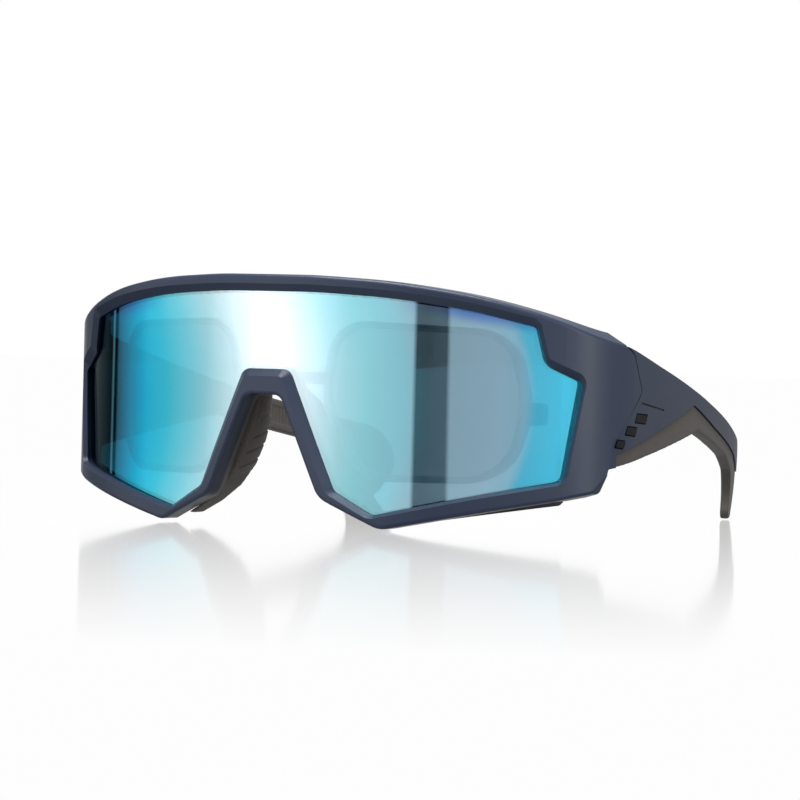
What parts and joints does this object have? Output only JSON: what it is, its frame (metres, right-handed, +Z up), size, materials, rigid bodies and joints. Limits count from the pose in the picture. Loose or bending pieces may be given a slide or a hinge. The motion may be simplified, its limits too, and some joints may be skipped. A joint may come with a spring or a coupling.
{
  "type": "wraparound shield glasses",
  "caption": "Wraparound sport shield glasses with a full rim, one curved mirror shield, folding rubber-lined temples, a rubber nose saddle and a lift-out clear lens insert.",
  "frame": {"origin": "middle of the bottom of the whole box, on the surface it rests on, temples open", "axes": "+X to the wearer's left, +Y from the front towards the wearer's ears, +Z up"},
  "size_m": [0.145, 0.1634, 0.0579],
  "materials": {
    "rim": "satin matt navy",
    "shell": "satin matt navy",
    "shield": "blue mirror coat",
    "rubber": "matt",
    "seal": "matt",
    "clear": "clear gloss",
    "optic": "clear",
    "steel": "satin",
    "dark": "matt black"
  },
  "bodies": {
    "front": {"front_frame": "rim", "shield_lens": "shield", "lens_seal": "seal", "brow_strip": "rubber", "nose_bracket": "dark", "nose_pad": "rubber", "insert_clip": "dark", "cheek_strip_right": "seal", "cheek_strip_left": "seal", "hinge_block_right": "dark", "hinge_block_left": "dark", "hinge_pin_right": "steel", "hinge_pin_left": "steel"},
    "temple_left": {"temple_shell_left": "shell", "temple_grip_left": "rubber", "temple_core_left": "steel", "temple_vents_left": "rubber", "temple_trim_left": "seal", "hinge_leaf_left": "steel", "leaf_screws_left": "steel"},
    "temple_right": {"temple_shell_right": "shell", "temple_grip_right": "rubber", "temple_core_right": "steel", "temple_vents_right": "rubber", "temple_trim_right": "seal", "hinge_leaf_right": "steel", "leaf_screws_right": "steel"},
    "insert": {"insert_frame": "clear", "insert_lens_left": "optic", "insert_lens_right": "optic"}
  },
  "joints": [
    {"name": "temple_right_fold", "type": "hinge", "parent": "front", "child": "temple_right", "pos_m": [0.0669, -0.03068, 0.0335], "axis": [0, 0, 1], "range_deg": [0, 90]},
    {"name": "temple_left_fold", "type": "hinge", "parent": "front", "child": "temple_left", "pos_m": [-0.0669, -0.03068, 0.0335], "axis": [0, 0, -1], "range_deg": [0, 78]},
    {"name": "insert_slide", "type": "slide", "parent": "front", "child": "insert", "axis": [0, 1, 0], "range_m": [0, 0.006]}
  ]
}
